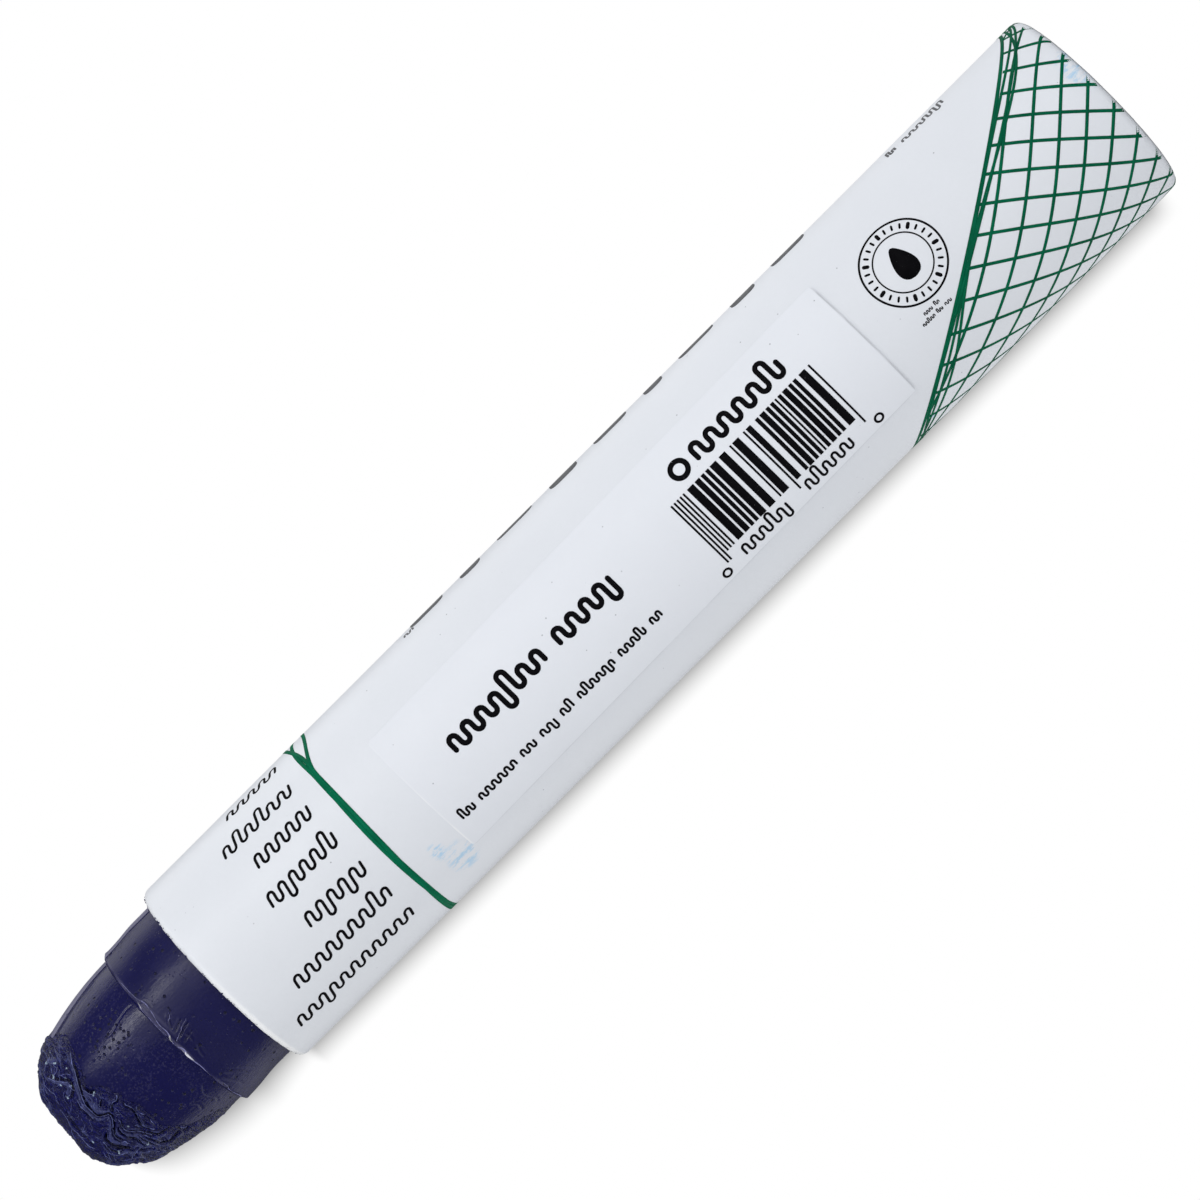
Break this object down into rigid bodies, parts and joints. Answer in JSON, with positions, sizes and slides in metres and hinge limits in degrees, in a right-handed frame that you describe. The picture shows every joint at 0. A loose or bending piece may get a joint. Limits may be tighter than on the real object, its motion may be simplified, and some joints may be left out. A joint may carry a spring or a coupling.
{
  "type": "solid paint marker",
  "caption": "Stick of solid dark blue paint with a blunt nose, standing out of a white printed paper sleeve that carries a small stuck label.",
  "frame": {"origin": "centre of the sleeve's cut back end, which the marker stands on", "axes": "+Z along the sleeve towards the nose of the paint stick, -Y towards the label, +X to the side that lies uppermost in the picture"},
  "size_m": [0.0182, 0.0186, 0.1167],
  "materials": {
    "paint": "satin",
    "board": "matte",
    "wrap_paper": "satin",
    "label_paper": "matte"
  },
  "bodies": {
    "sleeve": {"board_tube": "board", "printed_wrap": "wrap_paper", "stuck_label": "label_paper"},
    "stick": {"paint_stick": "paint"}
  },
  "joints": [
    {"name": "stick_push", "type": "slide", "parent": "sleeve", "child": "stick", "axis": [0, 0, 1], "range_m": [-0.0015, 0.08]}
  ]
}
